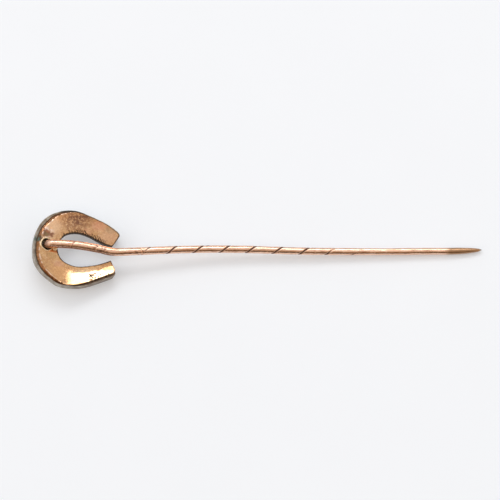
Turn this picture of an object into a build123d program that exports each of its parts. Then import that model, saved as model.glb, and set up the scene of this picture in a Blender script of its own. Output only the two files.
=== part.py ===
from build123d import *
import math
import os

# Horseshoe stick pin, lying face down: its heels and its pin rest on the surface, its toe stands clear.
# Lengths in millimetres, angles in degrees. The pin runs along +X, +Z is up.

# Head, seen square to its back
head_length = 12.0
head_width = 11.2
head_thickness = 1.8
toe_depth = 3.2
opening_width = 4.95
heel_gap = 2.1
heel_setback = 0.95
heel_corner_radius = 0.4

# Bow of the head: the back is hollow like a saucer, the front is rounded to match
bow_station = 5.4
back_radius = 18.0
front_radius = 28.0
front_edge_radius = 0.25

# Back plate
plate_thickness = 0.45
toe_bevel_width = 0.75
toe_bevel_height = 0.33
seam_gap = 0.02

# Setting: a tray that the back plate closes. It reaches past the plate round the outside
setting_toe_rim = 0.37
setting_wall = 0.7
setting_face = 0.6
# The opening flares towards the front from this far below the back's lowest place
opening_flare = 14.0
flare_depth = 0.2
EDGE_STEPS = 12

# Hole that the stem comes out of
hole_station = 1.6
hole_side = 0.31
hole_radius = 0.9
lip_width = 0.14
lip_height = 0.09
bead_radius = 0.3
bead_station = 2.86
bead_side = -0.2

# Stem
foot_station = 1.67
foot_side = 0.24
foot_gap = 0.02
elbow_height = 1.15
elbow_radius = 0.72
knee_station = 6.84
knee_side = 0.62
knee_height = 1.47
knee_radius = 26.0
neck_station = 11.0
neck_side = 0.12
neck_height = 1.73
neck_radius = 7.0
shaft_length = 54.12
head_wire_radius = 0.61
shank_radius = 0.5
point_length = 5.0

# How the head sits on the end of the pin
toe_lift = 12.5
head_yaw = 6.0

# Spiral groove, left-handed, round the first part of the shaft
groove_start = 4.05
groove_end = 34.85
groove_pitch = 3.87
groove_depth = 0.12
groove_width = 0.32
groove_fade = 3.0
groove_first_top = 5.0

# Outer edges: station as a share of head_length, then each side's edge as a share of half head_width
PLATE_EDGE = [
    # station, left, right
    (0.030, 0.417, 0.395),
    (0.100, 0.677, 0.637),
    (0.200, 0.890, 0.817),
    (0.320, 0.987, 0.961),
    (0.450, 1.016, 0.976),
    (0.600, 0.953, 0.889),
    (0.780, 0.827, 0.704),
    (1.000, 0.532, 0.486),
]
SETTING_EDGE = [
    # station, left, right
    (0.020, 0.571, 0.492),
    (0.100, 0.794, 0.687),
    (0.200, 0.939, 0.834),
    (0.320, 1.034, 0.963),
    (0.450, 1.059, 0.982),
    (0.600, 0.994, 0.940),
    (0.780, 0.869, 0.786),
    (1.012, 0.567, 0.538),
]
# The toe's foremost point lies a little to the right, as a share of half the width
TOE_LEAN = 0.12

# Opening: share of the way from its toe end to the heels' inner corners, then each side's edge as a
# share of half opening_width. Its toe end and its heels lie a little to the left, as shares of that too
OPENING_EDGE = [
    # way, left, right
    (0.03, 0.463, 0.316),
    (0.11, 0.817, 0.661),
    (0.22, 1.007, 0.841),
    (0.36, 1.075, 0.936),
    (0.55, 0.979, 0.869),
    (0.75, 0.722, 0.698),
]
OPENING_LEAN = 0.115
HEEL_LEAN = 0.066

# Ragged rim of the hole, as shares of its radius at even angles from the heel side, anticlockwise
HOLE_RIM = [0.98, 1.04, 0.93, 1.02, 0.99, 1.05, 0.94, 1.03, 0.96]

# Shaft route: way along it, sideways offset as a share of its length, height as a share of the neck's
SHAFT_ROUTE = [
    # way, side, height
    (0.201, 0.0106, 0.599),
    (0.341, 0.0110, 0.415),
    (0.535, 0.0031, 0.242),
    (0.736, 0.0010, 0.106),
    (0.907, 0.0010, 0.000),
]
# Wire radius at the foot, the elbow, the knee, the neck and each place of the route but the last, as a
# share of the way from the shank's radius to the head wire's
WIRE_TAPER = [1.0, 1.0, 1.0, 0.8, 0.45, 0.42, 0.36, 0.0]
# Points a turn on the groove's line, and how far it clears the metal at its ends, as a share of its depth
GROOVE_STEPS = 10
GROOVE_CLEAR = 0.1
# Bend radius at each inner place of the route, as a share of the shorter run beside it over its turn
BEND_REACH = 0.42

# File marks along the left arm's inner edge, and shallow dents in the plate
file_mark_count = 15
file_mark_radius = 0.11
file_mark_lean = 35.0
# Marks begin and end at these shares of the way along the opening, and differ in size by turns
file_mark_from = 0.16
file_mark_to = 0.80
FILE_MARK_SIZES = [1.0, 0.7, 1.25, 0.85, 1.1]
# Place as shares of head_length and of half the width, ball and depth as shares of plate_thickness
DENTS = [
    # station, side, ball, depth
    (0.107, 0.343, 2.9, 0.16),
    (0.150, 0.460, 2.0, 0.10),
    (0.716, -0.636, 1.6, 0.10),
    (0.745, -0.600, 1.2, 0.08),
]

half_width = head_width / 2
corner_station = head_length - heel_setback


def edge_point(station, side):
    """Place on the head's plan: station from the toe, side to the left of the pin's direction."""
    return (station - bow_station, side)


def opening_rows():
    """The opening's rows, from its toe end to the heels' inner corners."""
    heel = heel_gap / opening_width
    return [(0.0, 0.0, 0.0)] + OPENING_EDGE + [(1.0, heel + HEEL_LEAN, heel - HEEL_LEAN)]


def opening_left(way):
    """Side of the opening's left edge at a share of the way from its toe end to the heels."""
    rows = opening_rows()
    for (way_a, left_a, right_a), (way_b, left_b, right_b) in zip(rows, rows[1:]):
        if way <= way_b:
            share = (way - way_a) / (way_b - way_a)
            return (left_a + (left_b - left_a) * share) * opening_width / 2
    return rows[-1][1] * opening_width / 2


def opening_station(way):
    return toe_depth + way * (corner_station - toe_depth)


def outer_edge(rows, toe_rim):
    """An outer edge from the left heel round the toe to the right heel, its toe ahead by toe_rim."""
    left = [edge_point(s * head_length, a * half_width) for s, a, b in reversed(rows)]
    right = [edge_point(s * head_length, -b * half_width) for s, a, b in rows]
    return Spline(*left, edge_point(-toe_rim, -TOE_LEAN * half_width), *right)


def plate_edge():
    return outer_edge(PLATE_EDGE, 0)


def setting_edge():
    return outer_edge(SETTING_EDGE, setting_toe_rim)


def opening_edge():
    """Edge of the opening, from the right heel round its toe end to the left heel."""
    unit = opening_width / 2
    rows = [(opening_station(way), a * unit, b * unit) for way, a, b in opening_rows()[1:]]
    right = [edge_point(station, -b) for station, a, b in reversed(rows)]
    left = [edge_point(station, a) for station, a, b in rows]
    return Spline(*right, edge_point(toe_depth, OPENING_LEAN * unit), *left)


def closed_face(outer, inner):
    """Face between an outer edge and the opening's, closed straight across both heels."""
    return make_face([outer, Line(outer @ 1, inner @ 0), inner, Line(inner @ 1, outer @ 0)])


def horseshoe_face(outer):
    face = closed_face(outer, opening_edge())
    outer_corners = face.vertices().sort_by(Axis.X)[-2:]
    return fillet(outer_corners, heel_corner_radius)


def inside_edge(edge, inset, trim):
    """The edge moved into the metal by the inset, and cut short by trim at both heels."""
    cut = trim / edge.length
    points = []
    for step in range(EDGE_STEPS + 1):
        way = cut + (1 - 2 * cut) * step / EDGE_STEPS
        along = edge % way
        points.append(edge @ way + Vector(-along.Y, along.X) * inset)
    return Spline(*points)


def hollow_face():
    """Plan of the tray's hollow, a wall's thickness inside the horseshoe."""
    outer = inside_edge(setting_edge(), setting_wall, setting_wall)
    return closed_face(outer, inside_edge(opening_edge(), setting_wall, setting_wall))


def flare_face(grow, height):
    """Plan of the opening grown by grow, at a height, carried on straight past both heels."""
    line = inside_edge(opening_edge(), grow, 0)
    past = opening_width / 4
    first = line @ 0 - (line % 0) * past
    last = line @ 1 + (line % 1) * past
    face = make_face([Line(first, line @ 0), line, Line(line @ 1, last), Line(last, first)])
    return Pos(0, 0, height) * face


def flare_space():
    """Space that the opening gains as it widens towards the front."""
    slope = math.tan(math.radians(opening_flare))
    upper = flare_face(-slope * plate_thickness, plate_thickness - flare_depth)
    lower = flare_face(slope * head_thickness, -head_thickness - flare_depth)
    return loft([upper, lower], ruled=True)


def toe_face():
    """The plate's plan without its opening, closed straight across the heels."""
    outer = plate_edge()
    return make_face([outer, Line(outer @ 1, outer @ 0)])


def back_ball(depth):
    """Ball whose surface lies depth below the head's hollow back."""
    return Pos(0, 0, back_radius) * Sphere(back_radius + depth)


def front_ball(depth):
    """Ball whose surface lies depth inside the head's rounded front."""
    return Pos(0, 0, front_radius - head_thickness) * Sphere(front_radius - depth)


def back_height(station, side):
    """Height of the hollow back over its lowest place."""
    reach = math.hypot(*edge_point(station, side))
    return back_radius - math.sqrt(back_radius**2 - reach**2)


def prism(face):
    """The face pulled both ways, past the head's front and back."""
    return extrude(face, amount=head_thickness + back_radius / 4, both=True)


def make_setting():
    face = horseshoe_face(setting_edge())
    body = prism(face) & front_ball(0)
    front_edges = body.faces().sort_by(Axis.Z)[0].edges()
    body = fillet(front_edges, front_edge_radius) - flare_space()
    body -= back_ball(plate_thickness + seam_gap)
    return body - (prism(hollow_face()) & front_ball(setting_face))


def hole_face(grow):
    """The hole's ragged outline, grown outwards by grow."""
    points = []
    for number, share in enumerate(HOLE_RIM):
        angle = 2 * math.pi * number / len(HOLE_RIM)
        reach = hole_radius * share + grow
        centre = edge_point(hole_station, hole_side)
        points.append((centre[0] + reach * math.cos(angle), centre[1] + reach * math.sin(angle)))
    return make_face(Spline(*points, periodic=True))


def toe_bevel_keep():
    """Space inside the bevel: the plan leaning towards the heels as it rises from the bevel's foot."""
    foot = back_height(0, 0) - toe_bevel_height
    rise = plate_thickness + back_radius / 4
    lean = toe_bevel_width / toe_bevel_height
    leaning = extrude(Pos(0, 0, foot) * toe_face(), amount=rise, dir=(lean, 0, 1))
    lower = extrude(Pos(0, 0, foot) * toe_face(), amount=-rise)
    return leaning + lower


def file_marks():
    """Nicks across the left arm's inner edge, slanting with the thickness of the plate."""
    marks = []
    for number in range(file_mark_count):
        way = file_mark_from + (file_mark_to - file_mark_from) * number / (file_mark_count - 1)
        station = opening_station(way)
        side = opening_left(way)
        place = Pos(*edge_point(station, side), back_height(station, side))
        size = file_mark_radius * FILE_MARK_SIZES[number % len(FILE_MARK_SIZES)]
        marks.append(place * Rot(0, -file_mark_lean, 0) * Cylinder(size, 4 * plate_thickness))
    return marks


def make_plate():
    face = horseshoe_face(plate_edge())
    plate = (prism(face) & back_ball(plate_thickness)) - back_ball(0)
    plate &= toe_bevel_keep()
    lip = (prism(hole_face(lip_width)) & back_ball(plate_thickness / 2)) - back_ball(-lip_height)
    bead_height = back_height(bead_station, bead_side)
    bead = Pos(*edge_point(bead_station, bead_side), bead_height) * Sphere(bead_radius)
    bead &= prism(face)
    plate = plate + lip + bead - prism(hole_face(0))
    for mark in file_marks():
        plate -= mark
    for station, side, ball, depth in DENTS:
        place = (station * head_length, side * half_width)
        centre_height = back_height(*place) + (ball - depth) * plate_thickness
        plate -= Pos(*edge_point(*place), centre_height) * Sphere(ball * plate_thickness)
    return plate


def wire_radius(share):
    """Radius between the shank's and the head wire's."""
    return shank_radius + share * (head_wire_radius - shank_radius)


def straight(run, radius_start, radius_end):
    """Straight run of wire, plain or slowly narrowing."""
    plane = Plane(origin=run @ 0, z_dir=run % 0)
    stand = (Align.CENTER, Align.CENTER, Align.MIN)
    if abs(radius_start - radius_end) < 1e-6:
        return plane * Cylinder(radius_start, run.length, align=stand)
    return plane * Cone(radius_start, radius_end, run.length, align=stand)


def bend(arc, radius):
    return sweep(Plane(origin=arc @ 0, z_dir=arc % 0) * Circle(radius), path=arc)


def on_head(station, side, height):
    """Place given on the head, in the part's own directions."""
    return (head_place * Pos(*edge_point(station, side), height)).position


def tray_floor(station, side):
    """Height of the setting's inner face over the hollow back's lowest place."""
    reach = math.hypot(*edge_point(station, side))
    ball = front_radius - setting_face
    return front_radius - head_thickness - math.sqrt(ball**2 - reach**2)


def stem_corners():
    """Corners of the wire's route: foot, elbow, knee, neck, then the shaft down to the point's shoulder."""
    # The foot's flat end is square to the head, so its rim stands clear of the rounded tray floor
    rim = foot_station - head_wire_radius
    foot = on_head(foot_station, foot_side, tray_floor(rim, foot_side) + foot_gap)
    elbow = on_head(foot_station, foot_side, elbow_height)
    knee = on_head(knee_station, knee_side, knee_height)
    neck = on_head(neck_station, neck_side, neck_height)
    shaft = []
    for way, side, height in SHAFT_ROUTE:
        rise = height * (neck.Z - shank_radius)
        shaft.append(neck + Vector(way * shaft_length, side * shaft_length, 0))
        shaft[-1].Z = shank_radius + rise
    # The shaft slopes down, so the pin rests on its point, just past the shoulder
    before, shoulder = shaft[-2:]
    slope = (before.Z - shoulder.Z) / (shoulder - before).length
    shoulder.Z += math.hypot(shank_radius, slope * point_length) - shank_radius
    return [foot, elbow, knee, neck] + shaft


def bend_radii(corners):
    """Elbow, knee and neck have their own bends, and the shaft's are as wide as their runs allow."""
    radii = [elbow_radius, knee_radius, neck_radius]
    for before, corner, after in zip(corners[3:], corners[4:], corners[5:]):
        shorter = min((corner - before).length, (after - corner).length)
        turn = math.radians((corner - before).get_angle(after - corner))
        radii.append(BEND_REACH * shorter / math.tan(turn / 2))
    return radii


def make_wire(path):
    """Round wire along the path, thinner from the head to the shank, with its point."""
    radii = [wire_radius(share) for share in WIRE_TAPER]
    edges = path.edges()
    pieces = [bend(arc, radius) for arc, radius in zip(edges[1::2], radii[1:])]
    runs = zip(edges[0::2], [radii[0]] + radii[1:], radii[1:] + [shank_radius])
    pieces += [straight(run, start, end) for run, start, end in runs]
    pieces.append(Plane(origin=path @ 1, z_dir=path % 1) * make_point())
    return Part() + pieces


def make_point():
    """Blunt point along +Z: a long oval's half, turned round its middle line."""
    oval = EllipticalCenterArc((0, 0), shank_radius, point_length, arc_size=90)
    outline = Polyline(oval @ 1, (0, 0), oval @ 0)
    return revolve(Plane.XZ * make_face(oval + outline), Axis.Z, 360)


def groove_cutter(path):
    """Round rod wound left-handed round the shaft, rising out of the metal at both ends."""
    edges = path.edges()
    neck_way = sum(edge.length for edge in edges[:5]) + edges[5].length / 2
    rod = ((groove_width / 2) ** 2 + groove_depth**2) / (2 * groove_depth)
    steps = round(GROOVE_STEPS * (groove_end - groove_start) / groove_pitch)
    points = []
    for step in range(steps + 1):
        way = groove_start + (groove_end - groove_start) * step / steps
        place = path.position_at(neck_way + way, position_mode=PositionMode.LENGTH)
        along = path.tangent_at(neck_way + way, position_mode=PositionMode.LENGTH)
        side = Vector(0, 0, 1).cross(along).normalized()
        top = along.cross(side)
        angle = 2 * math.pi * (way - groove_first_top) / groove_pitch
        fade = min(1, (way - groove_start) / groove_fade, (groove_end - way) / groove_fade)
        reach = shaft_radius(way) + rod + groove_depth * (GROOVE_CLEAR - (1 + GROOVE_CLEAR) * fade)
        points.append(place + (side * math.sin(angle) + top * math.cos(angle)) * reach)
    line = Spline(*points)
    return sweep(Plane(origin=line @ 0, z_dir=line % 0) * Circle(rod), path=line)


def shaft_radius(way):
    """Wire radius at a distance along the shaft from the neck."""
    places = [0] + [row[0] * shaft_length for row in SHAFT_ROUTE]
    radii = [wire_radius(share) for share in WIRE_TAPER[3:] + [0.0]]
    for a, b, radius_a, radius_b in zip(places, places[1:], radii, radii[1:]):
        if way <= b:
            return radius_a + (radius_b - radius_a) * (way - a) / (b - a)
    return shank_radius


head_place = Rot(0, 0, -head_yaw) * Rot(0, toe_lift, 0)
setting = head_place * make_setting()
head_rise = Pos(0, 0, -setting.bounding_box().min.Z)
head_place = head_rise * head_place

corners = stem_corners()
path = FilletPolyline(*corners, radius=bend_radii(corners))
pieces = {
    "silver_setting": head_rise * setting,
    "back_plate": head_place * make_plate(),
    "pin_stem": make_wire(path) - groove_cutter(path),
}

# Origin: the middle of the whole pin's footprint, on the surface that it lies on
middle = Compound(list(pieces.values())).bounding_box().center()
os.makedirs("parts", exist_ok=True)
for name, piece in pieces.items():
    export_step(Pos(-middle.X, -middle.Y, 0) * piece, f"parts/{name}.step")

# Facts about the shank: where its plain round stretch begins and ends, and how it points
shank = path.edges()[-1]
for label, place in (("shank from", shank @ 0), ("shank to", shank @ 1)):
    print(label, [round(v, 4) for v in (place.X - middle.X, place.Y - middle.Y, place.Z)])
print("shank axis", [round(v, 6) for v in (shank % 1)], "length", round(shank.length, 4))
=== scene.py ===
import bmesh
import bpy
import math
import numpy as np
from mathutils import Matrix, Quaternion, Vector, noise


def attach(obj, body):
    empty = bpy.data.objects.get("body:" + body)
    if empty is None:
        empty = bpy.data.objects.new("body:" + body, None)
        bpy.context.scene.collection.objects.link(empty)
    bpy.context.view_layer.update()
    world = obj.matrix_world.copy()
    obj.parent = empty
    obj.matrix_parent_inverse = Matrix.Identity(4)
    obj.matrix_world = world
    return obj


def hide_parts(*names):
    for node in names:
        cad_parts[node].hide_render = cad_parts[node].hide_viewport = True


# Horseshoe stick pin, lying face down on pale paper. Lengths are in millimetres unless a name says
# metres, angles in degrees. Places on the head are (along, side): along from the bow's lowest place
# towards the pin's point, side to the left of that.

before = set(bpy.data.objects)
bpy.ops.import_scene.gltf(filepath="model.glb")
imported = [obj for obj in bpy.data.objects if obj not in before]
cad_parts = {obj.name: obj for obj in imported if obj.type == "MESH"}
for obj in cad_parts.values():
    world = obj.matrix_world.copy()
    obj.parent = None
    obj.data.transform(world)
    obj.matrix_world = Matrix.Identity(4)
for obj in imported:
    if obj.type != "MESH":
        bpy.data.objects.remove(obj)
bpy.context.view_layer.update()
MM = 0.001

# Head
TOE_LIFT = 12.5
HEAD_YAW = 6.0
HEAD_ORIGIN = np.array([-27.0082, -0.2448, 2.3904])
HEAD_LENGTH = 12.0
HEAD_WIDTH = 11.2
HEAD_THICKNESS = 1.8
BOW_STATION = 5.4
BACK_RADIUS = 18.0
FRONT_RADIUS = 28.0
FRONT_EDGE = 0.25
HEEL_CORNER = 0.6
TOE_DEPTH = 3.2
CORNER_STATION = 11.05
OPENING_WIDTH = 4.95
TOE_LEAN = 0.12
SETTING_TOE_RIM = 0.37
PLATE_THICKNESS = 0.45
SEAM_GAP = 0.02
SETTING_WALL = 0.7
SETTING_FACE = 0.6
BEVEL_WIDTH = 0.75
BEVEL_HEIGHT = 0.33
OPENING_FLARE = 14.0
FLARE_DEPTH = 0.2
FLARE_REACH = 1.2

# Rows of the outer edges: station as a share of the length, sides as shares of half the width
PLATE_EDGE = [
    (0.030, 0.417, 0.395),
    (0.100, 0.677, 0.637),
    (0.200, 0.890, 0.817),
    (0.320, 0.987, 0.961),
    (0.450, 1.016, 0.976),
    (0.600, 0.953, 0.889),
    (0.780, 0.827, 0.704),
    (1.000, 0.532, 0.486),
]
SETTING_EDGE = [
    (0.020, 0.571, 0.492),
    (0.100, 0.794, 0.687),
    (0.200, 0.939, 0.834),
    (0.320, 1.034, 0.963),
    (0.450, 1.059, 0.982),
    (0.600, 0.994, 0.940),
    (0.780, 0.869, 0.786),
    (1.012, 0.567, 0.538),
]
# Rows of the opening: share of the way to the heels, sides as shares of half its width
OPENING_EDGE = [
    (0.03, 0.463, 0.316),
    (0.11, 0.817, 0.661),
    (0.22, 1.007, 0.841),
    (0.36, 1.075, 0.936),
    (0.55, 0.979, 0.869),
    (0.75, 0.722, 0.698),
    (1.00, 0.490, 0.358),
]
OPENING_LEAN = 0.115

# Hole, its raised rim and the solder bead beside it
HOLE = (-3.80, 0.31)
HOLE_RADIUS = 0.9
HOLE_RIM = [0.98, 1.04, 0.93, 1.02, 0.99, 1.05, 0.94, 1.03, 0.96]
HOLE_SIDES = 72
RIM_SIDES = 120
RIM_SEGMENTS = 12
# The rim lies this far outside the hole's edge, and is this thick, with more of both on the toe side
RIM_BEYOND = 0.03
RIM_RADIUS = 0.07
RIM_TOE_EXTRA = 0.04
BEAD = (-2.58, -0.15)
BEAD_SIZE = (0.36, 0.30, 0.34)
BEAD_RAISED = 0.02
BEAD_ROWS = 14
BEAD_COLUMNS = 28

# Shallow dents in the plate: along, side, size and depth
PLATE_DENTS = [
    (-4.10, 1.92, 0.75, 0.055),
    (-3.50, 2.60, 0.50, 0.030),
    (3.25, -3.55, 0.42, 0.040),
    (3.60, -3.25, 0.30, 0.030),
    (2.90, -3.80, 0.25, 0.030),
    (-2.20, -0.34, 0.18, 0.030),
]

# File marks on the left arm's inner edge: their pitch, and where they set in and end along the arm
NOTCH_PITCH = 0.39
NOTCH_STRETCH = [-1.6, -1.0, 3.6, 4.6]
NOTCH_UPPER = 0.22
NOTCH_LOWER = 0.06
NOTCH_REACH = 0.5
STROKE_PITCH = 0.36
STROKE_STRETCH = [-1.9, -1.4, 4.2, 5.0]
STROKE_DEPTH = 0.03

# Rounding of the edges, the least thickness left under a dent, and the meshes' layers
PLATE_ROUNDING = 0.06
SETTING_ROUNDING = 0.07
THINNEST = 0.05
PLATE_LAYERS = 4
SETTING_LAYERS = 8

# Unevenness of each surface: height, size and seed of its noises
PLATE_WAVE = [(0.011, 2.1, 1.3), (0.004, 0.7, 2.4), (0.0016, 0.25, 5.2)]
BEVEL_WAVE = [(0.05, 0.5, 7.7), (0.03, 0.2, 9.9)]
SETTING_WAVE = [(0.028, 0.9, 3.3), (0.012, 0.35, 4.4)]
WIRE_WAVE = [(0.022, 0.8, 1.1), (0.018, 0.4, 7.3)]
WIRE_GRAIN = [(0.006, 0.3, 3.4)]

# Grid over the horseshoe
EDGE_WEAR = 0.02
CLOSE_ROWS = [0, 0.02, 0.05, 0.1, 0.16, 0.25]
GRID_COLUMNS = 312
GRID_ROWS = 36
HEEL_ROUNDING_STEP = 12

# Wire: corners of its route in the frame, the bend at each inner corner, and how its radius changes
WIRE_CORNERS = [
    (-30.7841, 0.3934, 2.3845),
    (-30.3572, 0.3485, 4.3205),
    (-25.2288, 0.1916, 3.5139),
    (-21.1860, -0.7361, 2.8674),
    (-10.3079, -0.1624, 1.9181),
    (-2.7311, -0.1408, 1.4825),
    (7.7682, -0.5683, 1.0729),
    (18.6463, -0.6820, 0.7509),
    (27.9008, -0.6820, 0.5180),
]
WIRE_BENDS = [0.72, 26.0, 7.0, 110.274, 134.856, 279.053, 685.562]
WIRE_TAPER = [1.0, 1.0, 1.0, 0.8, 0.45, 0.42, 0.36, 0.0, 0.0]
HEAD_WIRE_RADIUS = 0.61
SHANK_RADIUS = 0.5
POINT_LENGTH = 5.0
POINT_BEND = 0.14
POINT_RINGS = 80
WIRE_STEP = 0.075
WIRE_SIDES = 48
LOWEST = 0.004
# Nick across the wire: where it crosses a side, its slant and its width
NICK_ALONG = -26.75
NICK_SIDE = 0.25
NICK_SLANT = 0.62
NICK_WIDTH = 0.14
# Scraped places on the wire: middle and half length
SCRAPES = [(-23.0, 1.2), (-17.2, 0.9)]
SCRAPE_DEPTH = 0.05
# The wire is tarnished and then grey towards its point, and has painted shade at its root: places along the
# frame
TARNISH_FROM = 27.2, 28.4
GREY_FROM = 32.4, 32.8
ROOT_SHADE_FROM = -30.0, -30.7
# The wire's unevenness is drawn out along it, and never stands out more than this
WIRE_STRETCH = np.array([0.35, 1.0, 1.0])
HIGHEST_BUMP = 0.012

# Spiral groove, left-handed: distances along the shaft from the neck corner
GROOVE_START = 4.05
GROOVE_END = 34.85
GROOVE_PITCH = 3.87
GROOVE_FIRST_TOP = 5.0
GROOVE_DEPTH = 0.12
GROOVE_WIDTH = 0.32
GROOVE_FADE = 3.0
GROOVE_SPREAD = 1.15
GROOVE_WIRE_RADIUS = 0.55
# Where the dirt in the groove ends, and its faint trace a little further on
DIRT_END = 32.3
DIRT_TRACE = 35.15
# Small mark on the wire's far side, by its place along the frame
FAR_MARK = -7.25

lift, yaw = math.radians(TOE_LIFT), math.radians(HEAD_YAW)
ALONG = np.array([math.cos(lift) * math.cos(yaw), -math.cos(lift) * math.sin(yaw), -math.sin(lift)])
SIDE = np.array([math.sin(yaw), math.cos(yaw), 0.0])
NORMAL = np.cross(ALONG, SIDE)


# Curves and meshes


def spline(points, count=900):
    """Smooth curve through points, by chord length, its ends led by their four nearest points."""
    p = np.array(points, float)
    t = np.concatenate([[0], np.cumsum(np.hypot(*np.diff(p, axis=0).T))])
    n = len(p)
    gap = np.diff(t)
    matrix = np.eye(n)
    wanted = np.zeros((n, 2))
    for end, nearest in ((0, slice(0, 4)), (n - 1, slice(n - 4, n))):
        for axis in (0, 1):
            cubic = np.polyfit(t[nearest], p[nearest, axis], 3)
            wanted[end, axis] = np.polyval(np.polyder(cubic), t[end])
    for i in range(1, n - 1):
        matrix[i, i - 1:i + 2] = gap[i], 2 * (gap[i - 1] + gap[i]), gap[i - 1]
        before, after = (p[i] - p[i - 1]) / gap[i - 1], (p[i + 1] - p[i]) / gap[i]
        wanted[i] = 3 * (gap[i] * before + gap[i - 1] * after)
    slope = np.linalg.solve(matrix, wanted)
    s = np.linspace(0, t[-1], count)
    j = np.clip(np.searchsorted(t, s, side="right") - 1, 0, n - 2)
    h = gap[j][:, None]
    u = ((s - t[j]) / gap[j])[:, None]
    start = (2 * u**3 - 3 * u**2 + 1) * p[j] + (u**3 - 2 * u**2 + u) * h * slope[j]
    return start + (3 * u**2 - 2 * u**3) * p[j + 1] + (u**3 - u**2) * h * slope[j + 1]


def along_curve(curve, shares):
    """Places at shares of the curve's length."""
    reach = lengths_along(curve)
    wanted = np.asarray(shares) * reach[-1]
    return np.stack([np.interp(wanted, reach, curve[:, k]) for k in range(curve.shape[1])], 1)


def rough(places, size, seed):
    """Smooth noise from about -1 to 1, its features about size across."""
    flat = np.asarray(places, float).reshape(-1, np.shape(places)[-1]) / size
    third = flat[:, 2] if flat.shape[1] > 2 else np.zeros(len(flat))
    values = [noise.noise(Vector((x + seed, y - 2 * seed, z + 0.37 * seed)))
              for x, y, z in zip(flat[:, 0], flat[:, 1], third)]
    return np.array(values).reshape(np.shape(places)[:-1])


def unevenness(places, noises):
    """Sum of smooth noises, given by their height, size and seed."""
    return sum(height * rough(places, size, seed) for height, size, seed in noises)


def unit(ways):
    """Vectors in rows, each made one long."""
    return ways / np.linalg.norm(ways, axis=-1)[..., None]


def lengths_along(line):
    """Distance along a line of places, at each of them."""
    return np.concatenate([[0], np.cumsum(np.linalg.norm(np.diff(line, axis=0), axis=1))])


def square_to(edge):
    """Directions in plan that are square to an edge."""
    run = unit(np.gradient(edge, axis=0))
    return np.stack([run[:, 1], -run[:, 0]], 1)


def circle(sides):
    """Angles round a circle of so many sides."""
    return np.linspace(0, 2 * math.pi, sides, endpoint=False)


def rings(side, top, angle):
    """Unit rings across a wire, their zero angle on its top."""
    return side[:, None] * np.sin(angle)[:, None] + top[:, None] * np.cos(angle)[:, None]


def tube_faces(rows, columns, ends="open"):
    """Faces between the rings of a tube, its ends open, capped or joined."""
    index = np.arange(rows * columns).reshape(rows, columns)
    caps = [index[0][::-1].tolist(), index[-1].tolist()] if ends == "capped" else []
    if ends == "joined":
        index = np.concatenate([index, index[:1]])
    after = np.roll(index, -1, axis=1)
    return np.stack([index[:-1], after[:-1], after[1:], index[1:]], -1).reshape(-1, 4).tolist() + caps


def fillet(corner, one, two, radius):
    """Arc in a corner: the ways to its ends, how far off they lie, its middle and its sweep."""
    u, v = unit(one - corner), unit(two - corner)
    half = math.acos(np.clip(u @ v, -1, 1)) / 2
    middle = corner + unit(u + v) * radius / math.sin(half)
    return u, v, radius / math.tan(half), middle, math.pi - 2 * half


def swing(start, end, sweep, share):
    """The start turned by a share of the sweep towards the end."""
    return (start * np.sin((1 - share) * sweep) + end * np.sin(share * sweep)) / math.sin(sweep)


def fall(distance, radius):
    """Drop of a rounded edge of that radius at a distance in from the edge."""
    inside = np.clip(radius - distance, 0, radius)
    return radius - np.sqrt(radius**2 - inside**2)


def ease(x):
    """Smooth step from 0 to 1."""
    x = np.clip(x, 0, 1)
    return x * x * (3 - 2 * x)


def on_head(plan, height):
    """Places on the head, given by their plan and height, in the frame and in metres."""
    plan, height = np.asarray(plan), np.asarray(height)[..., None]
    return (HEAD_ORIGIN + plan[..., :1] * ALONG + plan[..., 1:2] * SIDE + height * NORMAL) * MM


def outer_curve(rows, toe_rim):
    """Outer edge, from the left heel round the toe to the right heel."""
    half = HEAD_WIDTH / 2
    left = [(s * HEAD_LENGTH - BOW_STATION, a * half) for s, a, b in reversed(rows)]
    right = [(s * HEAD_LENGTH - BOW_STATION, -b * half) for s, a, b in rows]
    return spline(left + [(-toe_rim - BOW_STATION, -TOE_LEAN * half)] + right)


def opening_curve():
    """Opening's edge, from the left heel round its toe end to the right heel."""
    half = OPENING_WIDTH / 2
    reach = CORNER_STATION - TOE_DEPTH
    left = [(TOE_DEPTH + w * reach - BOW_STATION, a * half) for w, a, b in reversed(OPENING_EDGE)]
    right = [(TOE_DEPTH + w * reach - BOW_STATION, -b * half) for w, a, b in OPENING_EDGE]
    return spline(left + [(TOE_DEPTH - BOW_STATION, OPENING_LEAN * half)] + right)


def round_corner(plan, corner, inner, outer, radius):
    """Rounds the heel's outer corner by drawing the places near it towards the corner's arc."""
    e1, e2, reach, centre, sweep = fillet(corner, inner, outer, radius)
    middle = corner + (e1 + e2) * reach
    a, b = np.linalg.solve(np.stack([e1, e2], 1), (plan - corner).reshape(-1, 2).T)
    a, b = a.reshape(plan.shape[:-1]), b.reshape(plan.shape[:-1])
    near = (a < reach) & (b < reach)
    far = np.maximum(reach - a, reach - b)
    turn = (b - a) / np.maximum(far, 1e-9)
    start, end = corner + e2 * reach - centre, corner + e1 * reach - centre
    arc = swing(start, end, sweep, np.clip((1 - turn) / 2, 0, 1)[..., None])
    moved = middle + (centre + arc - middle) * (far / reach)[..., None]
    return np.where(near[..., None], moved, plan)


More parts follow.
